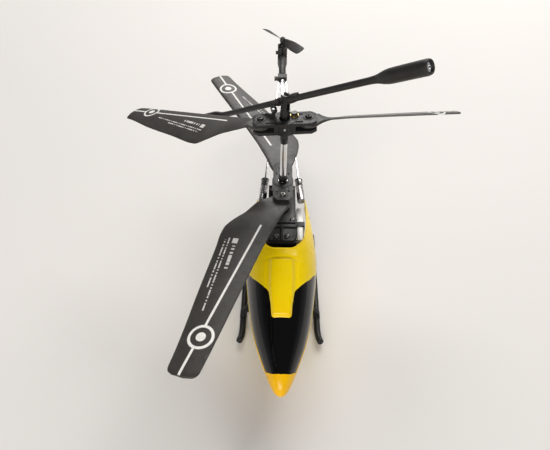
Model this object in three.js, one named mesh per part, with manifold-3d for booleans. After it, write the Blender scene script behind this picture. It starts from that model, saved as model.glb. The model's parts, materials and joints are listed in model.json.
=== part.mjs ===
// Toy helicopter with two stacked counter-rotating rotors. Millimetres, +Z up, nose towards -Y.
// Everything is laid out about the rotor mast (x = 0, y = 0) with the skids on z = 0; the last
// lines move the whole group so that the centre of its footprint is the origin.
import * as THREE from "three";
import { mergeVertices } from "three/addons/utils/BufferGeometryUtils.js";
import Module from "manifold-3d";

const wasm = await Module();
wasm.setup();

// ---- driving dimensions -------------------------------------------------------------------
const GAP = 0.05; // between pressed-together pieces
const RUN = 0.1; // between a turning piece and what holds it

const LOWER_ROTOR_Z = 55.7;
const UPPER_ROTOR_Z = 86.9;
const FLYBAR_Z = 97.1;
const GRIP_RADIUS = 9.4; // mast to blade pivot
const INNER_SHAFT_R = 1.35;
const OUTER_SHAFT_R = 2.1;

const HEAD_TILT = 4.5; // degrees, right blade up
const FLYBAR_AZIMUTH = -41;
const FLYBAR_TILT = 31.3;
const FLYBAR_HALF = 61;
const WEIGHT_R = 1.6;
const BLADE_THICKNESS = 0.8;
// distance from the mast, leading edge offset, trailing edge offset
const LOWER_PLAN = [
  [6.0, -1.6, 1.6], [7.2, -3.0, 3.0], [9.4, -3.8, 4.2], [13, -4.0, 7.6], [16, -3.8, 10.1],
  [20, -3.3, 13.2], [26, -2.9, 17.0], [30, -2.6, 18.3], [33, -2.5, 18.2], [41, -2.5, 16.6],
  [61.5, -2.9, 13.1], [90.4, -3.4, 8.2], [92.5, -3.4, 8.0], [94.8, -2.4, 7.8], [95.6, 4.4, 7.6],
];
const UPPER_PLAN = [
  [6.0, -1.6, 1.6], [7.2, -3.0, 3.0], [9.4, -3.8, 3.8], [12.9, -3.0, 3.8], [18.5, -2.2, 7.3],
  [25, -2.2, 11.4], [30, -2.2, 17.4], [33.8, -2.1, 21.2], [35, -2.1, 21.2], [51, -2.1, 18.4],
  [72, -2.1, 14.7], [92, -1.8, 9.8], [95, 0, 9.6], [95.9, 5.5, 9.5],
];
// side of the trailing edge, turn about the grip screw, rise along the span, pitch at root and tip (degrees)
const LOWER_AFT = { plan: LOWER_PLAN, scale: 1, side: -1, turn: 26, rise: 2.3, root: 8.8, tip: 0.5 };
const LOWER_FORE = { plan: LOWER_PLAN, scale: 1, side: -1, turn: 159.8, rise: -1.2, root: 12.5, tip: 9.6 };
const UPPER_RIGHT = { plan: UPPER_PLAN, scale: 0.833, side: 1, turn: 19.2, rise: -12.4, root: 35, tip: 24.7 };
const UPPER_LEFT = { plan: UPPER_PLAN, scale: 0.833, side: 1, turn: 148, rise: -11.1, root: 6, tip: 2 };

const BOTTOM_PLATE_Z = [10.8, 12.4];
const TOP_PLATE_Z = [40, 41.5];
const SIDE_PLATE_X = [5.1, 6.3];
const INNER_GEAR_Z = [14, 16];
const OUTER_GEAR_Z = [17.8, 19.8];
const GEAR_MODULE = 0.8;
const GEAR_TEETH = 28;
const PINION_TEETH = 8;
const GEAR_DISTANCE = 14.55;
const MOTOR_X = 3.75;
const MOTOR_R = 3.5;
const MOTOR_Z = [23, 37];

const TAIL_ROTOR_Y = 132.4;
const TAIL_ROTOR_Z = 60.9;
const TAIL_MOTOR_R = 2.35;
const BOOM_START = new THREE.Vector3(0, 9, 44.5);
const BOOM_END = new THREE.Vector3(0, 129, 51.8);
const BOOM_R = 1.25;
const STRUT_START = new THREE.Vector3(8.95, 15, 37.4);
const STRUT_END = new THREE.Vector3(1.9, 103.5, 50.3);
const STRUT_R = 0.5;
const NOZZLE_START = new THREE.Vector3(9.3, 10, 36.7);
const NOZZLE_LENGTH = 13;

const SKID_X = 17.2;
const SKID_R = 1.45;
const SKID_Z = 1.2;
const LEG_Y = [-30.5, 5];
const LEG_FOOT_Z = SKID_Z + SKID_R + 0.1;

// station along Y, half width, top, bottom of the canopy
const CANOPY = [
  [-79.5, 0.8, 21.2, 19.4], [-78.5, 2.0, 22.8, 17.9], [-75.5, 3.9, 25.2, 16.4],
  [-71, 5.8, 27.3, 15.0], [-66, 7.7, 29.3, 14.0], [-60, 9.8, 31.7, 13.3],
  [-52, 11.9, 34.6, 12.9], [-44, 13.4, 37.2, 12.8], [-36, 14.5, 39.5, 12.8],
  [-28, 15.4, 41.5, 12.8], [-20, 15.8, 42.0, 12.8], [-8, 15.4, 41.0, 12.8],
  [8, 14.2, 38.5, 13.2], [22, 12.6, 35.5, 14.0],
];
const CANOPY_WALL = 1.0;
const SPINE_RISE = 1.3;

// ---- colours and finishes -----------------------------------------------------------------
const finish = (color, roughness, metalness = 0) =>
  new THREE.MeshStandardMaterial({ color, roughness, metalness });
const YELLOW = finish(0xf7b70a, 0.35);
const GLOSS_BLACK = finish(0x0b0b0c, 0.08);
const BLACK = finish(0x17181a, 0.45);
const BLADE_BLACK = finish(0x2b2a28, 0.4);
const STEEL = finish(0xb9bcc0, 0.25, 1);
const CHROME = finish(0xe4e6e8, 0.06, 1);
const BRASS = finish(0xc79a4a, 0.3, 1);
const WHITE = finish(0xeceae4, 0.4);
const NYLON = finish(0xe6e2d4, 0.5);
const BOARD = finish(0x1d5a34, 0.5);

// ---- shape helpers ------------------------------------------------------------------------
const radians = THREE.MathUtils.degToRad;

function toSolid(geometry) {
  const bare = geometry.clone();
  bare.deleteAttribute("normal");
  bare.deleteAttribute("uv");
  const merged = mergeVertices(bare, 1e-4);
  return new wasm.Manifold(new wasm.Mesh({
    numProp: 3,
    vertProperties: new Float32Array(merged.attributes.position.array),
    triVerts: new Uint32Array(merged.index.array),
  }));
}

function toGeometry(solid) {
  const mesh = solid.getMesh();
  const geometry = new THREE.BufferGeometry();
  geometry.setAttribute("position", new THREE.BufferAttribute(new Float32Array(mesh.vertProperties), 3));
  geometry.setIndex(new THREE.BufferAttribute(new Uint32Array(mesh.triVerts), 1));
  geometry.computeVertexNormals();
  return geometry;
}

// the first geometry with the others cut out of it
function cut(geometry, ...tools) {
  return toGeometry(tools.reduce((solid, tool) => solid.subtract(toSolid(tool)), toSolid(geometry)));
}

function join(...geometries) {
  return toGeometry(geometries.slice(1).reduce((solid, g) => solid.add(toSolid(g)), toSolid(geometries[0])));
}

function common(a, b) {
  return toGeometry(toSolid(a).intersect(toSolid(b)));
}

function box(x0, x1, y0, y1, z0, z1) {
  return new THREE.BoxGeometry(x1 - x0, y1 - y0, z1 - z0)
    .translate((x0 + x1) / 2, (y0 + y1) / 2, (z0 + z1) / 2);
}

// an upright cylinder
function rod(r, z0, z1, x = 0, y = 0, segments = 20) {
  return new THREE.CylinderGeometry(r, r, z1 - z0, segments)
    .rotateX(Math.PI / 2).translate(x, y, (z0 + z1) / 2);
}

// a cylinder between two points
function bar(r, from, to, segments = 12) {
  const direction = new THREE.Vector3().subVectors(to, from);
  const turn = new THREE.Quaternion()
    .setFromUnitVectors(new THREE.Vector3(0, 1, 0), direction.clone().normalize());
  return new THREE.CylinderGeometry(r, r, direction.length(), segments)
    .applyQuaternion(turn).translate(...from.clone().lerp(to, 0.5).toArray());
}

// a shape turned about the X axis from [x, radius] pairs
function turnedX(profile, segments = 16) {
  return new THREE.LatheGeometry(profile.map(([x, r]) => new THREE.Vector2(r, x)), segments)
    .rotateZ(-Math.PI / 2);
}

// a flat outline in X and Y pushed up from z0 to z1
function slab(points, z0, z1) {
  const shape = new THREE.Shape(points.map(([x, y]) => new THREE.Vector2(x, y)));
  return new THREE.ExtrudeGeometry(shape, { depth: z1 - z0, bevelEnabled: false }).translate(0, 0, z0);
}

// an outline in Y and Z pushed along X
function sideSlab(points, x0, x1) {
  return slab(points, x0, x1).applyMatrix4(new THREE.Matrix4().set(
    0, 0, 1, 0, 1, 0, 0, 0, 0, 1, 0, 0, 0, 0, 0, 1));
}

// rings of equal point count joined into a closed body
function loft(rings) {
  const count = rings[0].length;
  const positions = rings.flat(2);
  const index = [];
  for (let i = 0; i + 1 < rings.length; i++) {
    for (let j = 0; j < count; j++) {
      const a = i * count + j;
      const b = i * count + ((j + 1) % count);
      index.push(a, b, b + count, a, b + count, a + count);
    }
  }
  const last = (rings.length - 1) * count;
  for (let j = 1; j + 1 < count; j++) index.push(0, j + 1, j, last, last + j, last + j + 1);
  const corner = (k) => new THREE.Vector3().fromArray(positions, index[k] * 3);
  let volume = 0;
  for (let k = 0; k < index.length; k += 3) volume += corner(k).dot(corner(k + 1).cross(corner(k + 2)));
  if (volume < 0) index.reverse();
  const geometry = new THREE.BufferGeometry();
  geometry.setAttribute("position", new THREE.Float32BufferAttribute(positions, 3));
  geometry.setIndex(index);
  geometry.computeVertexNormals();
  return geometry;
}

const mirrored = (points) => [...points, ...points.filter(([x]) => x > 0).reverse().map(([x, y]) => [-x, y])];

// a clockwise outline drawn in by a distance
function inset(points, distance) {
  const normal = ([x0, y0], [x1, y1]) => new THREE.Vector2(y1 - y0, x0 - x1).normalize();
  return points.map((point, i) => {
    const before = normal(points.at(i - 1), point);
    const after = normal(point, points[(i + 1) % points.length]);
    const shift = before.clone().add(after).multiplyScalar(distance / (1 + before.dot(after)));
    return [point[0] + shift.x, point[1] + shift.y];
  });
}

const helicopter = new THREE.Group();

function node(name, geometry, material, parent = helicopter) {
  const mesh = new THREE.Mesh(geometry, material);
  mesh.name = name;
  parent.add(mesh);
  return mesh;
}

function turned(parent, position, { x = 0, y = 0, z = 0 } = {}) {
  const group = new THREE.Group();
  group.position.set(...position);
  group.rotation.set(radians(x), radians(y), radians(z));
  parent.add(group);
  return group;
}

// ---- canopy -------------------------------------------------------------------------------
// the outer skin grown by `grow`, as rings running from the nose to the rear
function canopySkin(grow, noseShift) {
  const sides = 24;
  return loft(CANOPY.map(([y, half, top, bottom], i) => {
    const middle = bottom + (top - bottom) * 0.45;
    const w = Math.max(half + grow, 0.3);
    const up = Math.max(top - middle + grow, 0.3);
    const down = Math.max(middle - bottom + grow, 0.3);
    const round = (v, n) => Math.sign(v) * Math.abs(v) ** n;
    return Array.from({ length: sides }, (_, k) => {
      const t = (k / sides) * 2 * Math.PI;
      const s = Math.sin(t);
      const z = middle + (s > 0 ? up * s : down * round(s, 0.75));
      return [w * round(Math.cos(t), 0.9), y + (i === 0 ? noseShift : 0), z];
    });
  }));
}
const skinLayer = (outer, inner) => cut(
  canopySkin(outer, 0), canopySkin(inner, 1.2), box(-20, 20, 20.8, 24, 0, 60));
// the window: from above it stops at the spine, the shoulders and the front arc, from the side at a line
const windowAbove = mirrored([
  [0, -53.9], [2.8, -53.9], [3.9, -52.6], [4.3, -49], [5.2, -43.6], [20, -25.4], [20, -71],
  [5.6, -71.2], [4.4, -72.6], [2.8, -73.5], [0, -73.8],
]);
const windowBeside = [[-80, 20.6], [-80, 60], [-20, 60], [-20, 25.4]];
const windowTool = (edge) => common(
  slab(inset(windowAbove, edge), 20, 60),
  sideSlab(windowBeside.map(([y, z]) => [y, z + edge]), -25, 25));
const openingOutline = mirrored([
  [0, -24.5], [4, -24], [7.5, -21.5], [9.6, -17], [10.8, -8], [11.4, 4], [11.9, 14], [11.6, 30], [0, 30],
]);
const spineOutline = mirrored([
  [0, -27], [4.9, -27], [4.9, -43], [3.9, -49], [3.4, -52.2], [2.5, -53.2], [0, -53.3],
]);
const spine = common(skinLayer(SPINE_RISE, -CANOPY_WALL / 2), slab(spineOutline, 25, 50));
const canopyShell = cut(
  join(skinLayer(0, -CANOPY_WALL), spine),
  windowTool(0),
  slab(openingOutline, 24, 60),
  box(-20, 20, -23, 24, 5, 22),
);
node("canopy", canopyShell, YELLOW);
node("canopy_window", common(skinLayer(-0.2, -CANOPY_WALL), windowTool(0.3)), GLOSS_BLACK);

// ---- frame --------------------------------------------------------------------------------
const bearingBore = rod(2.8 + GAP, 8, 15);
node("bottom_plate", cut(
  slab(mirrored([[0, -33], [6, -33], [8, -30], [8, 18], [0, 18]]), ...BOTTOM_PLATE_Z), bearingBore), BLACK);
const upperBearingBore = rod(3.4 + GAP, 38, 44);
node("top_plate", cut(
  slab(mirrored([[0, -20], [5, -20], [6.3, -18], [6.3, 16], [0, 16]]), ...TOP_PLATE_Z),
  upperBearingBore), BLACK);
const sidePlate = [
  [-7, 21.2], [-7, TOP_PLATE_Z[0]], [16, TOP_PLATE_Z[0]], [16, BOTTOM_PLATE_Z[1]],
  [11.2, BOTTOM_PLATE_Z[1]], [11.2, 21.2],
];
for (const [name, x0, x1] of [
  ["frame_left", -SIDE_PLATE_X[1], -SIDE_PLATE_X[0]], ["frame_right", ...SIDE_PLATE_X]]) {
  const windows = [0, 9].map((y) => box(x0 - 1, x1 + 1, y - 4, y + 2.5, 25, 36));
  node(name, cut(sideSlab(sidePlate, x0, x1), ...windows), BLACK);
}
const motorY = -Math.sqrt(GEAR_DISTANCE ** 2 - MOTOR_X ** 2);
node("motor_mount", cut(
  box(-6.8, 6.8, -18.2, -7, 21.2, MOTOR_Z[0]),
  rod(0.9, 20, 24, -MOTOR_X, motorY), rod(0.9, 20, 24, MOTOR_X, motorY)), BLACK);
node("lower_bearing", cut(rod(2.8, 10.85, 13.2), rod(INNER_SHAFT_R + RUN, 9, 15)), BRASS);
node("upper_bearing", cut(rod(3.4, 39, 42.6), rod(OUTER_SHAFT_R + RUN, 38, 44)), BRASS);

// ---- gears and motors ---------------------------------------------------------------------
// a spur gear outline whose first tooth points along azimuth `start`
function gearOutline(teeth, start) {
  const pitch = (teeth * GEAR_MODULE) / 2;
  const step = (2 * Math.PI) / teeth;
  const points = [];
  for (let i = 0; i < teeth; i++) {
    for (const [offset, r] of [
      [-0.27, pitch - 0.9 * GEAR_MODULE], [-0.09, pitch + 0.68 * GEAR_MODULE],
      [0.09, pitch + 0.68 * GEAR_MODULE], [0.27, pitch - 0.9 * GEAR_MODULE]]) {
      const angle = start + (i + offset) * step;
      points.push([r * Math.cos(angle), r * Math.sin(angle)]);
    }
  }
  return points;
}
const gearAxis = { left: Math.atan2(motorY, -MOTOR_X), right: Math.atan2(motorY, MOTOR_X) };
node("inner_gear", cut(
  join(slab(gearOutline(GEAR_TEETH, gearAxis.left), ...INNER_GEAR_Z), rod(3, INNER_GEAR_Z[0], 17.2)),
  rod(INNER_SHAFT_R + GAP, 12, 18)), NYLON);
node("outer_gear", cut(
  join(slab(gearOutline(GEAR_TEETH, gearAxis.right), ...OUTER_GEAR_Z), rod(3.6, OUTER_GEAR_Z[0], 23)),
  rod(OUTER_SHAFT_R + GAP, 17, 24)), NYLON);
for (const [side, sign, gearZ] of [["left", -1, INNER_GEAR_Z], ["right", 1, OUTER_GEAR_Z]]) {
  const x = sign * MOTOR_X;
  const motor = turned(helicopter, [x, motorY, 0]);
  node(`${side}_motor`, cut(
    join(rod(MOTOR_R, ...MOTOR_Z, 0, 0, 24), rod(1.4, MOTOR_Z[1] - 0.5, MOTOR_Z[1] + 1)),
    rod(0.5 + RUN, MOTOR_Z[0] - 1, MOTOR_Z[0] + 4, 0, 0, 12)), STEEL, motor);
  node(`${side}_motor_shaft`, rod(0.5, gearZ[0] - 0.6, MOTOR_Z[0] + 3.8, 0, 0, 12), STEEL, motor);
  const start = gearAxis[side] + Math.PI + Math.PI / PINION_TEETH;
  node(`${side}_pinion`, cut(slab(gearOutline(PINION_TEETH, start), gearZ[0] - 0.2, gearZ[1] + 0.2),
    rod(0.5 + GAP, 10, 24, 0, 0, 12)), BRASS, motor);
}

// ---- shafts -------------------------------------------------------------------------------
const teeterPinTool = (r) => bar(
  r, new THREE.Vector3(0, -4.6, UPPER_ROTOR_Z), new THREE.Vector3(0, 4.6, UPPER_ROTOR_Z));
node("inner_shaft", cut(rod(INNER_SHAFT_R, 10.9, 93, 0, 0, 24), teeterPinTool(0.6 + GAP)), CHROME);
node("outer_shaft", cut(
  rod(OUTER_SHAFT_R, 17.6, 58.2, 0, 0, 24), rod(INNER_SHAFT_R + RUN, 17, 60, 0, 0, 24)), STEEL);
const ring = (inner, outer, z0, z1) => cut(rod(outer, z0, z1), rod(inner, z0 - 1, z1 + 1));
node("shaft_bushing", ring(INNER_SHAFT_R + GAP, 1.9, 58.6, 61.2), BLACK);
node("shaft_collar", ring(INNER_SHAFT_R + GAP, 1.7, 78, 83), BLACK);

// ---- blades -------------------------------------------------------------------------------
// a blade in its own frame: pivot at the origin, span along +X, trailing edge on the `side` of Y
function bladeGeometry({ plan, scale, side, rise, root, tip }) {
  const across = 3;
  const rings = plan.map(([r, lead, trail]) => {
    const s = (r - GRIP_RADIUS) * (r < 13 ? 1 : scale);
    const width = r < 13 ? 1 : scale;
    const blend = THREE.MathUtils.smoothstep(s, 4, 11);
    const pitch = radians(THREE.MathUtils.mapLinear(r, GRIP_RADIUS, 95, root, tip)) * blend;
    const half = (BLADE_THICKNESS + (1 - blend) * 0.6) / 2;
    const lift = Math.max(s - 5, 0) * Math.tan(radians(rise));
    const line = Array.from({ length: across + 1 }, (_, k) => {
      const u = k / across;
      const offset = (lead + (trail - lead) * u) * width;
      const camber = blend * 0.05 * (trail - lead) * width * 4 * u * (1 - u);
      return [s, side * offset * Math.cos(pitch), lift - offset * Math.sin(pitch) + camber];
    });
    const top = line.map(([x, y, z]) => [x, y, z + half]);
    const under = line.map(([x, y, z]) => [x, y, z - half]).reverse();
    return [...top, ...under];
  });
  return cut(loft(rings), rod(0.8 + RUN, -3, 3, 0, 0, 16));
}

// grip hub along X: a boss and, at each end, two tabs that hold a blade root between them
function hubGeometry(bossR, boreR, reach) {
  const tab = (z0, z1) => slab([
    [-reach, -2.6], [-reach + 2, -4.2], [reach - 2, -4.2], [reach, -2.6],
    [reach, 2.6], [reach - 2, 4.2], [-reach + 2, 4.2], [-reach, 2.6]], z0, z1);
  const pins = [-GRIP_RADIUS, GRIP_RADIUS].map((x) => rod(0.8 + GAP, -5, 5, x, 0, 16));
  return cut(
    join(rod(bossR, -2.6, 2.6), tab(-2.4, -1.1), tab(1.1, 2.4), box(-4.2, 4.2, -4.2, 4.2, -2.4, 2.4)),
    rod(boreR, -6, 6), ...pins);
}
const pivotScrew = () => join(rod(0.8, -2.9, 2.6, 0, 0, 16), rod(1.6, 2.45, 3.4, 0, 0, 16));

const lowerHead = turned(helicopter, [0, 0, LOWER_ROTOR_Z], { z: 90 });
node("lower_hub", hubGeometry(4.6, OUTER_SHAFT_R + GAP, 12.4), BLACK, lowerHead);
node("lower_aft_screw", pivotScrew(), STEEL, turned(lowerHead, [GRIP_RADIUS, 0, 0]));
node("lower_fore_screw", pivotScrew(), STEEL, turned(lowerHead, [-GRIP_RADIUS, 0, 0]));
node("lower_aft_blade", bladeGeometry(LOWER_AFT), BLADE_BLACK,
  turned(lowerHead, [GRIP_RADIUS, 0, 0], { z: LOWER_AFT.turn }));
node("lower_fore_blade", bladeGeometry(LOWER_FORE), BLADE_BLACK,
  turned(lowerHead, [-GRIP_RADIUS, 0, 0], { z: LOWER_FORE.turn }));

const upperHead = turned(helicopter, [0, 0, UPPER_ROTOR_Z], { y: -HEAD_TILT });
const pinHole = bar(0.6 + RUN, new THREE.Vector3(0, -8, 0), new THREE.Vector3(0, 8, 0));
node("upper_hub", join(
  cut(hubGeometry(4.9, 2.1, 12.4), pinHole), box(-4.9, -3.5, 1.4, 3.2, 2.3, 3.4)), BLACK, upperHead);
node("upper_right_screw", pivotScrew(), STEEL, turned(upperHead, [GRIP_RADIUS, 0, 0]));
node("upper_left_screw", pivotScrew(), STEEL, turned(upperHead, [-GRIP_RADIUS, 0, 0]));
node("upper_right_blade", bladeGeometry(UPPER_RIGHT), BLADE_BLACK,
  turned(upperHead, [GRIP_RADIUS, 0, 0], { z: UPPER_RIGHT.turn }));
node("upper_left_blade", bladeGeometry(UPPER_LEFT), BLADE_BLACK,
  turned(upperHead, [-GRIP_RADIUS, 0, 0], { z: UPPER_LEFT.turn }));
node("teeter_pin", teeterPinTool(0.6), STEEL);

// ---- stabiliser bar -----------------------------------------------------------------------
const flybarFrame = turned(helicopter, [0, 0, FLYBAR_Z], { z: FLYBAR_AZIMUTH });
const pinBar = (r, half) => bar(r, new THREE.Vector3(0, -half, 0), new THREE.Vector3(0, half, 0));
const yokeBottom = 89.9 - FLYBAR_Z;
node("flybar_yoke", cut(
  join(rod(1.9, yokeBottom, -3.9), box(-1.5, 1.5, -2.7, 2.7, -4.5, -3.5),
    box(-1.5, 1.5, -2.7, -1.6, -3.8, 1.6), box(-1.5, 1.5, 1.6, 2.7, -3.8, 1.6)),
  rod(INNER_SHAFT_R + GAP, yokeBottom - 1, 93.05 - FLYBAR_Z, 0, 0, 24), pinBar(0.6 + GAP, 6)),
BLACK, flybarFrame);
node("flybar_pin", pinBar(0.6, 3.2), STEEL, flybarFrame);
const flybarTilt = turned(flybarFrame, [0, 0, 0], { y: -FLYBAR_TILT });
const armProfile = [
  [3, 1.65], [6.5, 1.2], [40, 1.2], [42.5, 1.4], [45.3, 2.05], [48, 2.4], [FLYBAR_HALF - 0.6, 2.45],
  [FLYBAR_HALF, 2.25],
];
const flybarProfile = [
  [-FLYBAR_HALF, 0], ...armProfile.map(([x, r]) => [-x, r]).reverse(), ...armProfile, [FLYBAR_HALF, 0],
];
const coreBore = (r, x0, x1) => bar(r, new THREE.Vector3(x0, 0, 0), new THREE.Vector3(x1, 0, 0), 16);
node("flybar", cut(
  join(common(turnedX(flybarProfile, 16), join(
    box(-70, -3, -5, 5, -5, 5), box(3, 70, -5, 5, -5, 5), box(-4, 4, -1.45, 1.45, -1.6, 1.6))),
  box(4.6, 8.2, -0.9, 0.9, 0.4, 2.2)),
  coreBore(WEIGHT_R + GAP, 46, 70), coreBore(WEIGHT_R + GAP, -70, -46), pinBar(0.6 + RUN, 6)),
BLACK, flybarTilt);
node("flybar_weight_right", coreBore(WEIGHT_R, 46.2, FLYBAR_HALF - 0.4), STEEL, flybarTilt);
node("flybar_weight_left", coreBore(WEIGHT_R, 0.4 - FLYBAR_HALF, -46.2), STEEL, flybarTilt);
const linkTop = new THREE.Vector3(-4.4, 0, FLYBAR_Z - 3.5);
const linkFoot = new THREE.Vector3(-4.2, 2.2, UPPER_ROTOR_Z + 4.4);
node("flybar_link", join(
  bar(0.6, linkFoot, linkTop), new THREE.SphereGeometry(0.9, 10, 8).translate(...linkTop.toArray()),
  new THREE.SphereGeometry(0.9, 10, 8).translate(...linkFoot.toArray())), BLACK);

// ---- power --------------------------------------------------------------------------------
node("battery", box(7.1, 10.4, -12.2, 9.5, 21.8, 33), WHITE);
node("battery_strap", cut(
  box(6.7, 10.8, -3.4, -0.4, 21.4, 33.4), box(7.05, 10.45, -5, 1, 21.75, 33.05)), BLACK);
node("circuit_board", box(-8, -6.8, -6, 12, 22, 34.4), BOARD);
node("charge_socket", cut(box(-11.2, -8.05, 3, 9, 24, 28), box(-10.5, -8.7, 6, 12, 24.8, 27.2)), WHITE);
node("switch_body", cut(box(-3.6, 3.6, 8, 16.6, 7.8, 10.7), box(-1.4, 1.4, 9.2, 15.4, 7, 9.6)), BLACK);
node("switch_knob", join(box(-1.2, 1.2, 9.4, 12.2, 7.6, 9.3), box(-1.0, 1.0, 10, 11.6, 6, 8)), WHITE);

// ---- tail ---------------------------------------------------------------------------------
const along = (t) => BOOM_START.clone().lerp(BOOM_END, t);
const boomTool = bar(BOOM_R + GAP, along(-0.1), along(1.004));
node("tail_boom", bar(BOOM_R, along(0), along(1)), CHROME);
node("boom_socket", cut(box(-3, 3, 7.6, 16, TOP_PLATE_Z[1], 47.8), boomTool), BLACK);
const flip = (v, sign) => new THREE.Vector3(v.x * sign, v.y, v.z);
const nozzleEnd = NOZZLE_START.clone().add(
  STRUT_END.clone().sub(NOZZLE_START).setLength(NOZZLE_LENGTH));
function strutTool(r, sign, back) {
  const end = flip(STRUT_END, sign);
  return bar(r, flip(STRUT_START, sign).lerp(end, back), end);
}
node("strut_clamp", cut(
  join(box(-2.7, 2.7, 101.6, 106, 48.8, 52.2), box(-4.7, -2.3, 102.4, 104.6, 49.4, 51)), boomTool,
  strutTool(STRUT_R + GAP, 1, -0.2), strutTool(STRUT_R + GAP, -1, -0.2)), BLACK);
for (const [side, sign] of [["left", -1], ["right", 1]]) {
  node(`strut_${side}`, strutTool(STRUT_R, sign, 0), CHROME);
  const from = flip(NOZZLE_START, sign);
  const to = flip(nozzleEnd, sign);
  node(`nozzle_${side}`, cut(
    join(bar(1.85, from, to, 20), bar(1.4, from.clone().lerp(to, 0.9), to.clone().lerp(from, -0.06), 20)),
    strutTool(STRUT_R + 0.15, sign, -0.01)), CHROME);
}
const motorBase = 49;
const holderSide = (sign) => [
  box(Math.min(2.35 * sign, 2.9 * sign), Math.max(2.35 * sign, 2.9 * sign), 128.6, 134.6, 47.6, 57.4),
  box(Math.min(0.45 * sign, 2.9 * sign), Math.max(0.45 * sign, 2.9 * sign), 128.6, 129.5, 47.6, 57.4)];
node("tail_mount", cut(
  join(bar(2.1, along(0.815), along(0.985), 16), box(-2.9, 2.9, 128.6, 135.6, 47.6, motorBase),
    ...holderSide(-1), ...holderSide(1), box(-4.2, -2.8, 128.7, 129.5, 53.2, 55.2),
    slab([[-2.1, 119], [2.1, 119], [2.9, 125], [2.9, 128.8], [-2.9, 128.8], [-2.9, 125]], 48.6, 52.4),
    box(-1.2, 1.2, 118, 129, 47.6, 50.6)),
  rod(TAIL_MOTOR_R + GAP, motorBase, 60, 0, TAIL_ROTOR_Y, 24), boomTool), BLACK);
node("tail_motor", cut(
  join(rod(TAIL_MOTOR_R, motorBase + 0.05, 58.4, 0, TAIL_ROTOR_Y, 24), rod(1.1, 58, 59, 0, TAIL_ROTOR_Y)),
  rod(0.5 + RUN, 54, 60, 0, TAIL_ROTOR_Y, 12)), BLACK);
// two twisted blades on a small hub and a shaft: distance from the shaft, half chord, pitch (degrees)
const TAIL_BLADE = [[1, 1.3, -34], [5, 2.3, -32], [10, 3.2, -27], [17.6, 3.3, -21], [18.6, 2.6, -20]];
function tailBlade(turn) {
  const rings = TAIL_BLADE.map(([r, half, pitch]) => {
    const [c, s] = [Math.cos(radians(pitch)), Math.sin(radians(pitch))];
    return [[r, -half * c, half * s + 0.35], [r, -half * c, half * s - 0.35],
      [r, half * c, -half * s - 0.35], [r, half * c, -half * s + 0.35]];
  });
  return loft(rings).rotateZ(radians(turn));
}
node("tail_rotor", join(
  rod(1.7, -1.4, 1.4), rod(0.5, -6.2, 2, 0, 0, 12), tailBlade(-54), tailBlade(126)), BLADE_BLACK,
turned(helicopter, [0, TAIL_ROTOR_Y, TAIL_ROTOR_Z]));
node("tail_fin", sideSlab([[117.6, 47.4], [132, 47.4], [137.5, 31], [130.5, 29.5]], -0.45, 0.45), BLACK);

// ---- landing skids ------------------------------------------------------------------------
for (const [side, sign] of [["left", -1], ["right", 1]]) {
  const path = new THREE.CatmullRomCurve3([
    [SKID_X + 1, -45.8, SKID_Z + 1.5], [SKID_X + 0.3, -42.5, SKID_Z + 0.3], [SKID_X, -38, SKID_Z],
    [SKID_X, -10, SKID_Z], [SKID_X, 21, SKID_Z],
  ].map(([x, y, z]) => new THREE.Vector3(sign * x, y, z)), false, "catmullrom", 0.2);
  const circle = new THREE.Shape(Array.from({ length: 12 }, (_, k) =>
    new THREE.Vector2(SKID_R * Math.cos((k * Math.PI) / 6), SKID_R * Math.sin((k * Math.PI) / 6))));
  const tube = new THREE.ExtrudeGeometry(circle, { extrudePath: path, steps: 16, bevelEnabled: false });
  node(`skid_${side}`, cut(tube, box(-30, 30, -60, 60, -5, 0)), BLACK);
}
const legOutline = mirrored([
  [0, BOTTOM_PLATE_Z[0] - 0.05], [7.6, BOTTOM_PLATE_Z[0] - 0.05], [13, 9.2], [18.4, 3.9], [18.4, LEG_FOOT_Z],
  [16, LEG_FOOT_Z], [16, 3.7], [12.2, 7.6], [7.2, 9.2], [0, 9.2]]);
for (const [name, y] of [["front_leg", LEG_Y[0]], ["rear_leg", LEG_Y[1]]]) {
  node(name, slab(legOutline, -1.6, 1.6).rotateX(Math.PI / 2).translate(0, y, 0), BLACK);
}

// ---- origin at the centre of the footprint ------------------------------------------------
helicopter.updateMatrixWorld(true);
const extent = new THREE.Box3().setFromObject(helicopter, true);
helicopter.position.set(-(extent.min.x + extent.max.x) / 2, -(extent.min.y + extent.max.y) / 2, -extent.min.z);

export default helicopter;
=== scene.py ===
import json
import math

import bmesh
import bpy
from mathutils import Matrix, Vector


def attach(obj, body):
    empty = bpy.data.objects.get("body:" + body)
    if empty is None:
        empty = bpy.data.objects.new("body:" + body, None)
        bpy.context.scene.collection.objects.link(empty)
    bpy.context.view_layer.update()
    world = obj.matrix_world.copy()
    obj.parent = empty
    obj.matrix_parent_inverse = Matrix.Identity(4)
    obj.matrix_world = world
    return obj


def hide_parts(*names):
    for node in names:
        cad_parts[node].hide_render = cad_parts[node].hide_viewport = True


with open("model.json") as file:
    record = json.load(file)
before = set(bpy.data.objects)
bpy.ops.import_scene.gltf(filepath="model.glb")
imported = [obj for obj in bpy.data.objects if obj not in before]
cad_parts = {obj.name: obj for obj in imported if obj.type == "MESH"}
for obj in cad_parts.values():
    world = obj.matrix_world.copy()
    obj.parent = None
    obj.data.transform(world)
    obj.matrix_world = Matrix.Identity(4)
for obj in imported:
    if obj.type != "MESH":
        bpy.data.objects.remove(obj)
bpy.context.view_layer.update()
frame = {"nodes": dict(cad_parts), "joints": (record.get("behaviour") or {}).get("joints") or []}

MM = 0.001
JOINTS = {j["name"]: j for j in frame["joints"]}


def joint_place(name):
    return Vector(JOINTS[name]["pos_m"])


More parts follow.
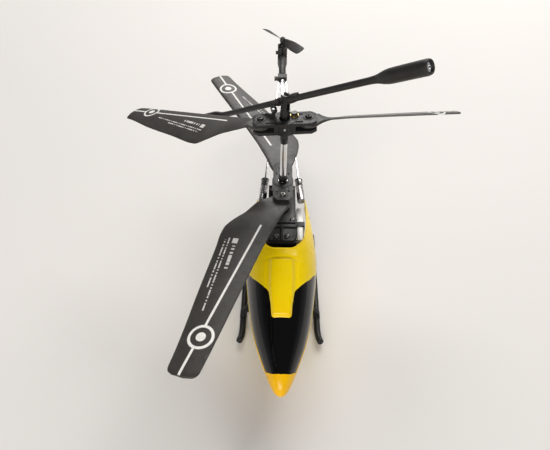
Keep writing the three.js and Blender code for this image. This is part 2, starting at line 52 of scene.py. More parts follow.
# Pieces are drawn in millimetres about the mast, with the skids on z = 0.
MAST = Vector((joint_place("mast_spin").x, joint_place("mast_spin").y, 0))
TO_ROW = Matrix.Translation(MAST) @ Matrix.Scale(MM, 4)
LOWER_Z = joint_place("lower_rotor_spin").z / MM
UPPER_Z = joint_place("head_teeter").z / MM
FLYBAR_Z = joint_place("flybar_tilt").z / MM
GRIP = 9.4  # folding pivots of the blades, from the mast
HEAD_TILT = math.radians(4.5)
FLYBAR_AZIMUTH = math.radians(-41)
FLYBAR_TILT = math.radians(31.3)
FLYBAR_HALF = 61
SKID_X, SKID_R, SKID_Z = 17.2, 1.45, 1.2

CAMERA_PLACE = (-3.6, -159.7, 191.9)
CAMERA_PITCH, CAMERA_YAW, CAMERA_ROLL = 45.3, 0.2, 1.1
SENSOR_WIDTH, LENS = 36, 31.32655
FLOOR_SIZE = 6
WARM_WHITE = (1, 0.985, 0.96)
SKY_WHITE = (0.97, 0.98, 1.0, 1)
# strength of the world's light at the horizon and, from FADE_END of the way up, overhead
HORIZON_LIGHT, OVERHEAD_LIGHT, FADE_END = 0.4, 0.1, 0.5


# ---------------------------------------------------------------- camera, floor, light
def camera():
    pitch, yaw, roll = (math.radians(a) for a in (CAMERA_PITCH, CAMERA_YAW, CAMERA_ROLL))
    forward = Vector((math.sin(yaw) * math.cos(pitch), math.cos(yaw) * math.cos(pitch), -math.sin(pitch)))
    right = Vector((math.cos(yaw), -math.sin(yaw), 0))
    up = right.cross(forward)
    across = right * math.cos(roll) + up * math.sin(roll)
    over = -right * math.sin(roll) + up * math.cos(roll)
    data = bpy.data.cameras.new("camera")
    data.sensor_width, data.lens = SENSOR_WIDTH, LENS
    data.clip_start, data.clip_end = 0.005, 20
    obj = bpy.data.objects.new("camera", data)
    turn = Matrix((across, over, -forward)).transposed().to_4x4()
    obj.matrix_world = Matrix.Translation(TO_ROW @ Vector(CAMERA_PLACE)) @ turn
    bpy.context.collection.objects.link(obj)
    bpy.context.scene.camera = obj


def area_light(name, place, size, power):
    """A soft box that faces the model."""
    data = bpy.data.lights.new(name, "AREA")
    data.shape, data.size, data.size_y = "RECTANGLE", size[0], size[1]
    data.energy, data.color = power, WARM_WHITE
    obj = bpy.data.objects.new(name, data)
    obj.location = place
    obj.rotation_euler = (-Vector(place)).to_track_quat("-Z", "Y").to_euler()
    bpy.context.collection.objects.link(obj)


def studio():
    """One soft box behind and one in front, and a dim sky, so that the window stays dark from above."""
    bpy.context.scene.view_settings.view_transform = "Standard"
    world = bpy.data.worlds.new("world")
    world.use_nodes = True
    tree = world.node_tree
    direction = tree.nodes.new("ShaderNodeTexCoord").outputs["Generated"]
    split = tree.nodes.new("ShaderNodeSeparateXYZ")
    tree.links.new(direction, split.inputs[0])
    fade = tree.nodes.new("ShaderNodeMapRange")
    tree.links.new(split.outputs["Z"], fade.inputs["Value"])
    limits = {"From Min": 0, "From Max": FADE_END, "To Min": HORIZON_LIGHT, "To Max": OVERHEAD_LIGHT}
    for key, value in limits.items():
        fade.inputs[key].default_value = value
    background = tree.nodes["Background"]
    tree.links.new(fade.outputs[0], background.inputs["Strength"])
    background.inputs["Color"].default_value = SKY_WHITE
    bpy.context.scene.world = world
    area_light("back_box", (0.35, 1.2, 1.15), (1.6, 0.8), 33)
    area_light("front_box", (-0.3, -1.6, 0.95), (1.5, 0.7), 26)


# ---------------------------------------------------------------- node helpers
class Nodes:
    """A short way to write a node tree."""

    def __init__(self, name):
        self.material = bpy.data.materials.new(name)
        self.material.use_nodes = True
        self.tree = self.material.node_tree
        self.tree.nodes.clear()
        self.shader = self.add("ShaderNodeBsdfPrincipled")
        output = self.add("ShaderNodeOutputMaterial")
        self.tree.links.new(self.shader.outputs[0], output.inputs[0])
        self.place = self.add("ShaderNodeTexCoord").outputs["Object"]

    def add(self, kind, **values):
        node = self.tree.nodes.new(kind)
        for key, value in values.items():
            setattr(node, key, value)
        return node

    def put(self, socket, value):
        if isinstance(value, bpy.types.NodeSocket):
            self.tree.links.new(value, socket)
        else:
            socket.default_value = value

    def math(self, operation, a, b=0.0, clamp=False):
        node = self.add("ShaderNodeMath", operation=operation, use_clamp=clamp)
        for socket, value in zip(node.inputs, (a, b)):
            self.put(socket, value)
        return node.outputs[0]

    def noise(self, scale, detail=3.0, rough=0.5):
        node = self.add("ShaderNodeTexNoise")
        self.put(node.inputs["Vector"], self.place)
        for key, value in (("Scale", scale), ("Detail", detail), ("Roughness", rough)):
            node.inputs[key].default_value = value
        return node.outputs["Fac"]

    def ramp(self, factor, low, high, start=0.0, end=1.0):
        node = self.add("ShaderNodeMapRange")
        values = {"Value": factor, "From Min": start, "From Max": end, "To Min": low, "To Max": high}
        for key, value in values.items():
            self.put(node.inputs[key], value)
        return node.outputs[0]

    def mix(self, factor, a, b):
        node = self.add("ShaderNodeMix", data_type="RGBA")
        self.put(node.inputs["Factor"], factor)
        self.put(node.inputs["A"], a)
        self.put(node.inputs["B"], b)
        return node.outputs["Result"]

    def bump(self, height, strength, distance):
        node = self.add("ShaderNodeBump")
        node.inputs["Strength"].default_value = strength
        node.inputs["Distance"].default_value = distance
        self.put(node.inputs["Height"], height)
        self.put(self.shader.inputs["Normal"], node.outputs[0])

    def set(self, **values):
        for key, value in values.items():
            self.put(self.shader.inputs[key.replace("_", " ")], value)


def rgb(r, g, b):
    """sRGB 0 to 255 as a linear colour."""
    linear = [(c / 255 / 12.92) if c < 10 else ((c / 255 + 0.055) / 1.055) ** 2.4 for c in (r, g, b)]
    return (*linear, 1.0)


def edge_wear_and_sheen(n, amount):
    """1 on convex edges, 0 elsewhere."""
    pointed = n.add("ShaderNodeNewGeometry").outputs["Pointiness"]
    return n.math("MULTIPLY", n.ramp(pointed, 0, 1, 0.52, 0.6), amount, clamp=True)


def plastic(name, colour, light, rough, bump=0.05, wear=0.15, coat=0.0, level=0.5):
    """Moulded plastic: clouded colour, a fine moulded grain and slightly polished edges."""
    n = Nodes(name)
    tint = n.mix(n.ramp(n.noise(140, 4, 0.6), 0, 1, 0.3, 0.7), colour, light)
    polished = (*(min(1, c * 2.2 + 0.02) for c in light[:3]), 1)
    n.set(Base_Color=n.mix(edge_wear_and_sheen(n, wear), tint, polished))
    n.set(Roughness=n.ramp(n.noise(420, 3, 0.6), *rough, 0.3, 0.7), Coat_Weight=coat, Coat_Roughness=0.06)
    n.set(Specular_IOR_Level=level)
    n.bump(n.noise(2600, 2, 0.5), bump, 0.0001)
    return n.material


def metal(name, colour, dark, rough, bump=0.04):
    """Bare or plated metal with fine tool marks."""
    n = Nodes(name)
    marks = n.noise(900, 4, 0.6)
    n.set(Base_Color=n.mix(n.ramp(n.noise(120, 3), 0, 1, 0.35, 0.7), colour, dark), Metallic=1.0)
    n.set(Roughness=n.ramp(marks, *rough, 0.3, 0.7))
    n.bump(marks, bump, 0.00005)
    return n.material


def shell_paint():
    """Glossy shell: lemon yellow at the shoulders, deepening to orange at the nose, which is painted shade
    where the nose turns down.
    """
    n = Nodes("shell_yellow")
    split = n.add("ShaderNodeSeparateXYZ")
    n.put(split.inputs[0], n.place)
    # the nose is painted a deeper, darker orange: painted shade on the down-turned nose
    nose = n.ramp(split.outputs["Y"], 1, 0, MAST.y - 0.078, MAST.y - 0.045)
    body = n.mix(n.math("MULTIPLY", nose, 0.9), rgb(254, 220, 0), rgb(246, 172, 0))
    cloud = n.ramp(n.noise(60, 3, 0.55), 0, 0.35, 0.35, 0.7)
    n.set(Base_Color=n.mix(cloud, body, rgb(250, 204, 0)))
    n.set(Roughness=n.ramp(n.noise(300, 3, 0.6), 0.24, 0.38, 0.3, 0.7), Coat_Weight=0.15, Coat_Roughness=0.06)
    n.set(Specular_IOR_Level=0.25)
    n.bump(n.noise(420, 2, 0.5), 0.02, 0.0001)
    return n.material


def window_gloss():
    n = Nodes("window_gloss")
    dust = n.ramp(n.noise(1500, 2, 0.7), 0, 0.5, 0.66, 0.75)
    n.set(Base_Color=n.mix(dust, rgb(7, 7, 8), rgb(36, 35, 35)))
    n.set(Roughness=n.ramp(n.noise(260, 4, 0.6), 0.05, 0.12, 0.35, 0.7), Coat_Weight=0.2, Coat_Roughness=0.03)
    n.set(Specular_IOR_Level=0.3)
    n.bump(n.noise(160, 2, 0.5), 0.01, 0.0001)
    return n.material


# The blade's print, in millimetres out from the folding pivot and across from the pivot line.
PRINT_RING_PLACE = (71.8, 2.2)
PRINT_RING_RADIUS, PRINT_RING_HALF, PRINT_DOT_RADIUS = 4.1, 0.5, 1.7
PRINT_LINE_ACROSS, PRINT_LINE_HALF, PRINT_LINE_MIDDLE, PRINT_LINE_REACH = 2.7, 0.45, 52, 34
PRINT_BLOCK_MIDDLE, PRINT_BLOCK_HALF = (28.4, 9.8), (1.3, 1.2)
PRINT_SLANT = 0.17  # the rows of dashes close in on the line by this much along the blade
# rows of dashes: place across, half width, start, end, dash pitch
PRINT_ROWS = ((9.6, 0.7, 31, 43, 1.9), (12.6, 0.3, 27, 62, 1.4), (14.2, 0.3, 28, 52, 1.7))
PRINT_LAYOUT_SCALE = 100  # millimetres in one unit of the blade's UV map


def blade_plastic():
    """Charcoal satin blade with thin pale printed graphics, laid out in blade millimetres."""
    n = Nodes("blade_print")
    uv = n.add("ShaderNodeUVMap", uv_map="blade").outputs[0]
    split = n.add("ShaderNodeSeparateXYZ")
    n.put(split.inputs[0], uv)
    span = n.math("MULTIPLY", split.outputs["X"], PRINT_LAYOUT_SCALE)
    chord = n.math("MULTIPLY", n.math("SUBTRACT", split.outputs["Y"], 0.5), PRINT_LAYOUT_SCALE)

    def below(value, limit, soft=0.08):
        return n.ramp(value, 1, 0, limit - soft, limit + soft)

    def clamped(value):
        return n.math("MINIMUM", n.math("MAXIMUM", value, 0.0), 1.0)

    def band(value, middle, half):
        return clamped(below(n.math("ABSOLUTE", n.math("SUBTRACT", value, middle)), half))

    def both(a, b):
        return n.math("MULTIPLY", a, b)

    away = n.math("SUBTRACT", span, PRINT_RING_PLACE[0])
    across = n.math("SUBTRACT", chord, PRINT_RING_PLACE[1])
    radius = n.math("SQRT", n.math("ADD", both(across, across), both(away, away)))
    ring_paint = band(radius, PRINT_RING_RADIUS, PRINT_RING_HALF)
    dot_paint = clamped(below(radius, PRINT_DOT_RADIUS))
    outside_ring = n.math("SUBTRACT", 1.0, clamped(below(radius, PRINT_RING_RADIUS + 0.1)))
    along_line = both(band(span, PRINT_LINE_MIDDLE, PRINT_LINE_REACH), outside_ring)
    line_paint = both(band(chord, PRINT_LINE_ACROSS, PRINT_LINE_HALF), along_line)
    slope = n.math("MULTIPLY", n.math("SUBTRACT", span, 27.0), PRINT_SLANT)
    slanted = n.math("ADD", chord, slope)
    bars = both(band(slanted, PRINT_BLOCK_MIDDLE[1], PRINT_BLOCK_HALF[1]),
                band(span, PRINT_BLOCK_MIDDLE[0], PRINT_BLOCK_HALF[0]))
    for place, half, start, end, pitch in PRINT_ROWS:
        wave = n.math("SINE", n.math("MULTIPLY", span, 2 * math.pi / pitch))
        slow = n.math("SINE", n.math("MULTIPLY", span, 2 * math.pi / (pitch * 4.7)))
        dash = clamped(n.ramp(n.math("ADD", wave, n.math("MULTIPLY", slow, 0.8)), 0, 1, -0.7, -0.2))
        stretch = band(span, (start + end) / 2, (end - start) / 2)
        bars = n.math("MAXIMUM", both(both(band(slanted, place, half), stretch), dash), bars)
    paint = n.math("MAXIMUM", ring_paint, dot_paint)
    paint = n.math("MAXIMUM", paint, n.math("MAXIMUM", line_paint, both(bars, 0.8)))
    paint = both(paint, n.ramp(n.noise(900, 3, 0.7), 1, 0.72, 0.45, 0.8))
    base = n.mix(n.ramp(n.noise(260, 4, 0.6), 0, 1, 0.3, 0.7), rgb(46, 43, 40), rgb(58, 55, 51))
    # convex edges lightened towards pale grey: partly rubbed wear, partly a painted sheen for the light the
    # blade's edges catch
    base = n.mix(edge_wear_and_sheen(n, 0.25), base, rgb(112, 108, 103))
    n.set(Base_Color=n.mix(paint, base, rgb(236, 234, 229)))
    n.set(Roughness=n.ramp(n.noise(700, 3, 0.6), 0.4, 0.55, 0.3, 0.7), Specular_IOR_Level=0.4)
    n.bump(n.math("ADD", n.noise(2400, 2, 0.5), n.math("MULTIPLY", paint, 0.6)), 0.06, 0.0001)
    return n.material


def floor_paper():
    n = Nodes("floor_paper")
    cloud = n.ramp(n.noise(3, 3, 0.5), 0, 1, 0.3, 0.7)
    n.set(Base_Color=n.mix(cloud, rgb(226, 222, 219), rgb(221, 218, 215)))
    n.set(Roughness=n.ramp(n.noise(500, 3, 0.6), 0.55, 0.7, 0.3, 0.7), Specular_IOR_Level=0.3)
    n.bump(n.noise(1800, 2, 0.6), 0.03, 0.0001)
    return n.material


SHELL = shell_paint()
WINDOW = window_gloss()
BLADE = blade_plastic()
BLACK = plastic("moulded_black", rgb(14, 14, 15), rgb(24, 23, 23), (0.4, 0.55), bump=0.08, level=0.35)
BLACK_GLOSS = plastic("moulded_black_gloss", rgb(12, 12, 13), rgb(21, 20, 20), (0.25, 0.4), level=0.4)
FLYBAR_BLACK = plastic(
    "stabiliser_black", rgb(26, 25, 24), rgb(38, 36, 34), (0.42, 0.55), bump=0.07, level=0.4)
TAIL_BLACK = plastic("tail_black", rgb(34, 33, 31), rgb(47, 45, 42), (0.45, 0.6), bump=0.07, level=0.4)
NYLON = plastic("gear_nylon", rgb(222, 216, 200), rgb(236, 232, 220), (0.4, 0.5), wear=0.0)
WRAP = plastic(
    "white_wrap", rgb(244, 243, 239), rgb(252, 251, 248), (0.25, 0.4), bump=0.03, wear=0.0, coat=0.3)
BOARD = plastic("board_green", rgb(16, 74, 42), rgb(24, 92, 54), (0.3, 0.4), bump=0.04)
CHROME = metal("bright_chrome", rgb(238, 238, 240), rgb(214, 213, 212), (0.05, 0.12), bump=0.01)
SATIN_CHROME = metal("satin_chrome", rgb(178, 177, 176), rgb(150, 149, 147), (0.22, 0.34))
DARK_BRASS = metal("dark_brass", rgb(62, 54, 42), rgb(44, 39, 32), (0.3, 0.45))
STEEL = metal("plain_steel", rgb(196, 196, 198), rgb(150, 149, 148), (0.2, 0.34))
DARK_STEEL = metal("dark_steel", rgb(120, 118, 116), rgb(86, 84, 82), (0.25, 0.4))
BLACK_STEEL = metal("black_steel", rgb(58, 56, 54), rgb(38, 37, 36), (0.3, 0.45))
BRASS = metal("turned_brass", rgb(232, 206, 146), rgb(196, 164, 104), (0.2, 0.32))


# ---------------------------------------------------------------- mesh helpers
def piece(name, verts, faces, body, material, nodes=(), matrix=None, bevel=0.0, uv=None, sharp=35):
    """A piece from millimetres about the mast, riding on a CAD body."""
    mesh = bpy.data.meshes.new(name)
    mesh.from_pydata([tuple(v) for v in verts], [], [tuple(f) for f in faces])
    if uv:
        layer = mesh.uv_layers.new(name="blade")
        for loop in mesh.loops:
            layer.data[loop.index].uv = uv[loop.vertex_index]
    mesh.transform(TO_ROW @ (matrix or Matrix.Identity(4)))
    work = bmesh.new()
    work.from_mesh(mesh)
    bmesh.ops.remove_doubles(work, verts=work.verts, dist=1e-7)
    bmesh.ops.recalc_face_normals(work, faces=work.faces)
    work.to_mesh(mesh)
    work.free()
    return finish(name, mesh, body, material, nodes, bevel, sharp)


def finish(name, mesh, body, material, nodes, bevel, sharp):
    mesh.shade_smooth()
    mesh.materials.clear()
    mesh.materials.append(material)
    obj = bpy.data.objects.new(name, mesh)
    bpy.context.collection.objects.link(obj)
    if bevel:
        modifier = obj.modifiers.new("edges", "BEVEL")
        modifier.width, modifier.segments, modifier.angle_limit = bevel * MM, 3, math.radians(sharp)
        modifier.harden_normals = True
    else:
        mesh.set_sharp_from_angle(angle=math.radians(sharp))
    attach(obj, body)
    if nodes:
        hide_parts(*nodes)
    return obj


def dress(node, body, material, bevel):
    """A copy of a CAD node with its flat faces merged and its edges eased."""
    mesh = frame["nodes"][node].data.copy()
    work = bmesh.new()
    work.from_mesh(mesh)
    bmesh.ops.remove_doubles(work, verts=work.verts, dist=1e-6)
    bmesh.ops.dissolve_limit(work, angle_limit=math.radians(0.5), verts=work.verts, edges=work.edges)
    work.to_mesh(mesh)
    work.free()
    return finish(node + "_piece", mesh, body, material, (node,), bevel, 40)


def merge(*parts):
    """Several (verts, faces) as one."""
    verts, faces = [], []
    for more_verts, more_faces in parts:
        faces += [[i + len(verts) for i in face] for face in more_faces]
        verts += list(more_verts)
    return verts, faces


def moved(part, matrix):
    verts, faces = part
    return [matrix @ Vector(v) for v in verts], faces


def lathe(profile, segments=48, closed=False):
    """Turned about Z from (radius, height) pairs; closed joins the last pair to the first."""
    verts, faces = [], []
    for r, z in profile:
        for k in range(segments):
            a = 2 * math.pi * k / segments
            verts.append(Vector((r * math.cos(a), r * math.sin(a), z)))
    rows = len(profile)
    for i in range(rows if closed else rows - 1):
        for k in range(segments):
            a, b = i * segments + k, i * segments + (k + 1) % segments
            c, d = ((i + 1) % rows) * segments + (k + 1) % segments, ((i + 1) % rows) * segments + k
            faces.append([a, b, c, d])
    if not closed:
        faces.append(list(range(segments))[::-1])
        faces.append(list(range((rows - 1) * segments, rows * segments)))
    return verts, faces


def pin(r, low, high, edge=0.12, segments=40):
    """A turned pin with eased ends."""
    return lathe([(r - edge, low), (r, low + edge), (r, high - edge), (r - edge, high)], segments)


def ring(inner, outer, low, high):
    edge = 0.1
    return lathe([(inner, low), (outer - edge, low), (outer, low + edge), (outer, high - edge),
                  (outer - edge, high), (inner, high)], 40, closed=True)


def block(low, high):
    (x0, y0, z0), (x1, y1, z1) = low, high
    verts = [Vector((x, y, z)) for x in (x0, x1) for y in (y0, y1) for z in (z0, z1)]
    return verts, [[0, 1, 3, 2], [4, 6, 7, 5], [0, 4, 5, 1], [2, 3, 7, 6], [0, 2, 6, 4], [1, 5, 7, 3]]


def prism(outline, low, high):
    count = len(outline)
    verts = [Vector((x, y, z)) for z in (low, high) for x, y in outline]
    sides = [[i, (i + 1) % count, count + (i + 1) % count, count + i] for i in range(count)]
    return verts, sides + [list(range(count))[::-1], list(range(count, 2 * count))]


def hull_faces(count, rows):
    """The faces of rows of points, closed round each row and capped at both ends."""
    faces = []
    for first in range(0, (rows - 1) * count, count):
        for k in range(count):
            a, b = first + k, first + (k + 1) % count
            faces.append([a, b, b + count, a + count])
    return faces + [list(range(count))[::-1], list(range((rows - 1) * count, rows * count))]


def toward(start, end):
    """Places a part drawn along +Z from the origin so that it runs from start towards end."""
    start, end = Vector(start), Vector(end)
    return Matrix.Translation(start) @ (end - start).to_track_quat("Z", "Y").to_matrix().to_4x4()


def tube(points, radius, segments=24):
    """A round bar along a line of points, with flat ends."""
    points = [Vector(p) for p in points]
    verts = []
    side = Vector((0, 0, 1)).cross(points[1] - points[0]).normalized()
    for i, p in enumerate(points):
        ahead = (points[min(i + 1, len(points) - 1)] - points[max(i - 1, 0)]).normalized()
        side = (side - ahead * side.dot(ahead)).normalized()
        other = ahead.cross(side)
        r = radius[i] if isinstance(radius, (list, tuple)) else radius
        for k in range(segments):
            a = 2 * math.pi * k / segments
            verts.append(p + side * (r * math.cos(a)) + other * (r * math.sin(a)))
    return verts, hull_faces(segments, len(points))


def smooth_curve(table, x):
    """Values at x from rows of (x, value, ...), on a monotone cubic."""
    table = sorted(table)
    xs = [row[0] for row in table]
    x = min(max(x, xs[0]), xs[-1])
    i = max(k for k in range(len(xs) - 1) if xs[k] <= x)
    out = []
    for column in range(1, len(table[0])):
        ys = [row[column] for row in table]
        slope = [(ys[k + 1] - ys[k]) / (xs[k + 1] - xs[k]) for k in range(len(xs) - 1)]

        def tangent(k):
            if k in (0, len(xs) - 1):
                return slope[min(k, len(slope) - 1)]
            a, b = slope[k - 1], slope[k]
            return 0.0 if a * b <= 0 else 2 * a * b / (a + b)

        h = xs[i + 1] - xs[i]
        t = (x - xs[i]) / h
        out.append((2 * t**3 - 3 * t**2 + 1) * ys[i] + (t**3 - 2 * t**2 + t) * h * tangent(i)
                   + (3 * t**2 - 2 * t**3) * ys[i + 1] + (t**3 - t**2) * h * tangent(i + 1))
    return out


def step(low, high, x):
    t = min(max((x - low) / (high - low), 0), 1)
    return t * t * (3 - 2 * t)


# ---------------------------------------------------------------- canopy
# station along Y, half width, top, bottom
CANOPY = [
    (-79.5, 0.8, 21.2, 19.4), (-78.5, 2.0, 22.8, 17.9), (-75.5, 3.9, 25.2, 16.4), (-71, 5.8, 27.3, 15.0),
    (-66, 7.7, 29.3, 14.0), (-60, 9.8, 31.7, 13.3), (-52, 11.9, 34.6, 12.9), (-44, 13.4, 37.2, 12.8),
    (-36, 14.5, 39.5, 12.8), (-28, 15.4, 41.5, 12.8), (-20, 15.8, 42.0, 12.8), (-8, 15.4, 41.0, 12.8),
    (8, 14.2, 38.5, 13.2), (20.8, 12.8, 35.8, 13.9),
]
# right-hand halves of the outlines seen from above, each corner with the length that its rounding takes
WINDOW_EDGE = [
    (3.9, -53.9, 1.5), (4.3, -49, 0.5), (5.2, -43.3, 0.9), (8.8, -39.0, 0.8), (12, -34.9, 0.8),
    (14.3, -30.2, 0.8), (20, -18, 0), (20, -62, 0), (8.0, -65.8, 1.5), (6.2, -70.6, 2.0),
    (3.4, -73.4, 1.4), (0, -73.8, 0),
]
OPENING_EDGE = [(4.6, -24.6, 2.5), (9.6, -18.2, 5), (11.2, -4, 5), (11.9, 14, 3), (11.6, 30, 0)]
NOSE_Y, REAR_Y = CANOPY[0][0], CANOPY[-1][0]
SHELL_THICKNESS, GLASS_INSET = 0.95, 0.14
# the raised spine in front of the opening, with a crease at its rear end and a groove down each side
RIDGE_RISE, RIDGE_FRONT_Y, RIDGE_HALF, RIDGE_TAPER = 1.2, -53.9, 5.2, 0.13
CREASE_Y, CREASE_DEPTH, GROOVE_X, GROOVE_DEPTH = -29.2, 0.35, 6.2, 0.25
SILL_FRONT, SILL_SLOPE = 20.6, 0.08  # the window's lower edge, at y = -80 and along Y


def mirrored_outline(points, steps=8):
    """The closed outline of a right-hand half and its mirror image, corners rounded."""
    points = points + [(-x, y, size) for x, y, size in points[::-1] if x > 0]
    outline = []
    for i, (x, y, size) in enumerate(points):
        corner = Vector((x, y))
        before, after = (Vector(points[k][:2]) - corner for k in (i - 1, (i + 1) % len(points)))
        start, end = corner + before.normalized() * size, corner + after.normalized() * size
        for k in range(steps + 1 if size else 1):
            t = k / steps
            outline.append(start * (1 - t) ** 2 + corner * 2 * t * (1 - t) + end * t**2 if size else corner)
    return outline


def canopy_section(y):
    half, top, bottom = smooth_curve(CANOPY, y)
    middle = bottom + (top - bottom) * 0.45
    return half, top - middle, middle - bottom, middle


def canopy_point(y, angle, section, ridged):
    """A point of the skin; angle 0 is the right-hand widest line and a quarter turn is the top."""
    half, up, down, middle = section
    c, s = math.cos(angle), math.sin(angle)
    x = half * math.copysign(abs(c) ** 0.9, c)
    z = middle + (up * s if s > 0 else -down * abs(s) ** 0.75)
    if ridged and s > 0:
        edge = RIDGE_HALF + RIDGE_TAPER * min(y + 43.6, 0)
        ahead = step(CREASE_Y, CREASE_Y - 2, y)
        z += RIDGE_RISE * step(-0.1, 1.1, edge - abs(x)) * step(RIDGE_FRONT_Y, RIDGE_FRONT_Y + 1, y) * ahead
        z -= CREASE_DEPTH * step(1.0, 0, abs(y - CREASE_Y)) * step(9.5, 6.5, abs(x))
        z -= GROOVE_DEPTH * step(1.1, 0, abs(abs(x) - GROOVE_X)) * ahead * step(-46, -42, y)
    return Vector((x, y, z))


def canopy_loft(shrink, start, end, ridged=False):
    """The closed skin between two stations, drawn in by a distance."""
    ys = [start]
    while ys[-1] < end - 1e-6:
        y = ys[-1]
        fine = y < -77.5 or (ridged and (-54.5 < y < -51.5 or -32 < y < -27.5))
        ys.append(min(y + (0.22 if fine else 0.9), end))
    angles = [math.pi * k / 180 for k in range(180)] + [math.pi * (1 + k / 50) for k in range(50)]
    verts = []
    for y in ys:
        half, up, down, middle = canopy_section(y)
        section = (half - shrink, up - shrink, down - shrink, middle)
        verts += [canopy_point(y, a, section, ridged) for a in angles]
    return verts, hull_faces(len(angles), len(ys))


def carve(start, *steps):
    """A closed part with others joined on, cut out or kept in common, as one mesh in millimetres."""
    made = []

    def stand(part):
        mesh = bpy.data.meshes.new("cutter")
        mesh.from_pydata([tuple(v) for v in part[0]], [], part[1])
        work = bmesh.new()
        work.from_mesh(mesh)
        bmesh.ops.recalc_face_normals(work, faces=work.faces)
        work.to_mesh(mesh)
        work.free()
        made.append(bpy.data.objects.new("cutter", mesh))
        bpy.context.collection.objects.link(made[-1])
        return made[-1]

    base = stand(start)
    for operation, part in steps:
        modifier = base.modifiers.new("carve", "BOOLEAN")
        modifier.object, modifier.operation, modifier.solver = stand(part), operation, "MANIFOLD"
    mesh = bpy.data.meshes.new_from_object(base.evaluated_get(bpy.context.evaluated_depsgraph_get()))
    for obj in made:
        bpy.data.objects.remove(obj)
    mesh.transform(TO_ROW)
    return mesh


def rim_bead():
    """The rolled edge of the opening, on the skin all along the outline."""
    outline = [p for p in mirrored_outline(OPENING_EDGE, 12) if p.y < 20.3]
    half = len(outline) // 2
    points = []
    # forward along the left, across the front and back along the right
    for p in outline[half:] + outline[:half]:
        section = canopy_section(p.y)
        angle = math.acos(min(abs(p.x) / section[0], 1) ** (1 / 0.9))
        points.append(Vector((p.x, p.y, canopy_point(p.y, angle, section, False).z - 0.12)))
    return tube(points, 0.42, 12)


def canopy():
    window = mirrored_outline(WINDOW_EDGE)
    sill = [Vector((p.x, p.y, SILL_FRONT + SILL_SLOPE * (p.y + 80))) for p in window]
    window_cut = (sill + [Vector((p.x, p.y, 60)) for p in window], prism(window, 0, 1)[1])
    opening = prism(mirrored_outline(OPENING_EDGE, 12), 24, 60)
    belly = block((-20, -23, 5), (20, 24, 22))
    inside = canopy_loft(SHELL_THICKNESS, NOSE_Y + 1.3, REAR_Y + 1)
    shell = carve(canopy_loft(0, NOSE_Y, REAR_Y, ridged=True), ("UNION", rim_bead()), ("DIFFERENCE", inside),
                  ("DIFFERENCE", window_cut), ("DIFFERENCE", opening), ("DIFFERENCE", belly))
    finish("canopy_shell", shell, "airframe", SHELL, ("canopy",), 0, 32)
    glass = carve(canopy_loft(GLASS_INSET, NOSE_Y + 0.2, REAR_Y), ("DIFFERENCE", inside),
                  ("INTERSECT", window_cut))
    finish("canopy_glazing", glass, "airframe", WINDOW, ("canopy_window",), 0, 40)


# ---------------------------------------------------------------- blades
# distance from the mast, leading edge, trailing edge
LOWER_PLAN = [
    (6.0, -1.6, 1.6), (7.2, -3.0, 3.0), (9.4, -3.8, 4.2), (13, -4.0, 7.6), (16, -3.8, 10.1),
    (20, -3.3, 13.2), (26, -2.9, 17.0), (30, -2.6, 18.3), (33, -2.5, 18.2), (41, -2.5, 16.6),
    (61.5, -2.9, 13.1), (90.4, -3.4, 8.2), (92.5, -3.4, 8.0), (93.9, -3.0, 7.7), (94.9, -2.0, 7.1),
    (95.6, 1.0, 5.4),
]
UPPER_PLAN = [
    (6.0, -1.6, 1.6), (7.2, -3.0, 3.0), (9.4, -3.8, 3.8), (12.9, -3.0, 3.8), (18.5, -2.2, 7.3),
    (25, -2.2, 11.4), (30, -2.2, 17.4), (33.8, -2.1, 21.2), (35, -2.1, 21.2), (51, -2.1, 18.4),
    (72, -2.1, 14.7), (92, -1.8, 9.8), (94.2, -0.8, 9.5), (95.2, 0.6, 8.9), (95.9, 3.2, 7.2),
]
UPPER_SCALE = 0.833  # the upper blades' share of their plan's length and width


def blade_mesh(plan, scale, side, rise, root, tip):
    """A twisted blade about its pivot, span along +X, with its layout in millimetres for the print."""
    stations = [6 + 0.12 * k for k in range(60)] + [13.2 + 0.9 * k for k in range(86)]
    stations += [90.5 + (plan[-1][0] - 90.5) * k / 44 for k in range(45)]
    across = 20
    verts, uv = [], []
    for r in stations:
        lead, trail = smooth_curve(plan, r)
        width = 1 + (scale - 1) * step(11, 15, r)
        s = (r - GRIP) * (1 + (scale - 1) * step(9.4, 17, r))
        blend = step(4, 11, s)
        pitch = math.radians(root + (tip - root) * (r - GRIP) / (95 - GRIP)) * blend
        full = 0.4 + (1 - blend) * 0.3
        lift = max(s - 5, 0) * math.tan(math.radians(rise))
        line = []
        for k in range(across + 1):
            u = 0.5 - 0.5 * math.cos(math.pi * k / across)
            offset = (lead + (trail - lead) * u) * width
            camber = blend * 0.05 * (trail - lead) * width * 4 * u * (1 - u)
            nose = math.sqrt(max(1 - (1 - min(u / 0.1, 1)) ** 2, 0))
            tail = math.sqrt(max(1 - (1 - min((1 - u) / 0.05, 1)) ** 2, 0))
            half = full * nose * tail * (1 - 0.45 * blend * step(0.35, 1, u))
            middle = Vector((s, side * offset * math.cos(pitch), lift - offset * math.sin(pitch) + camber))
            line.append((middle, half, offset / width))
        for order, sign in ((line, 1), (line[::-1][1:-1], -1)):
            for middle, half, offset in order:
                verts.append(middle + Vector((0, 0, sign * half)))
                uv.append(((r - GRIP) / PRINT_LAYOUT_SCALE, offset / PRINT_LAYOUT_SCALE + 0.5))
    return verts, hull_faces(2 * across, len(stations)), uv


def blade(prefix, hub, end, turn, plan, scale, side, rise, root, tip):
    """A blade on the end +1 or -1 of a hub, with its angles in degrees."""
    verts, faces, uv = blade_mesh(plan, scale, side, rise, root, tip)
    matrix = hub @ at(end * GRIP, 0, 0) @ Matrix.Rotation(math.radians(turn), 4, "Z")
    piece(prefix + "_vane", verts, faces, prefix, BLADE, (prefix + "_blade",), matrix, uv=uv, sharp=50)


# ---------------------------------------------------------------- heads and rotors
def at(x, y, z):
    return Matrix.Translation(Vector((x, y, z)))


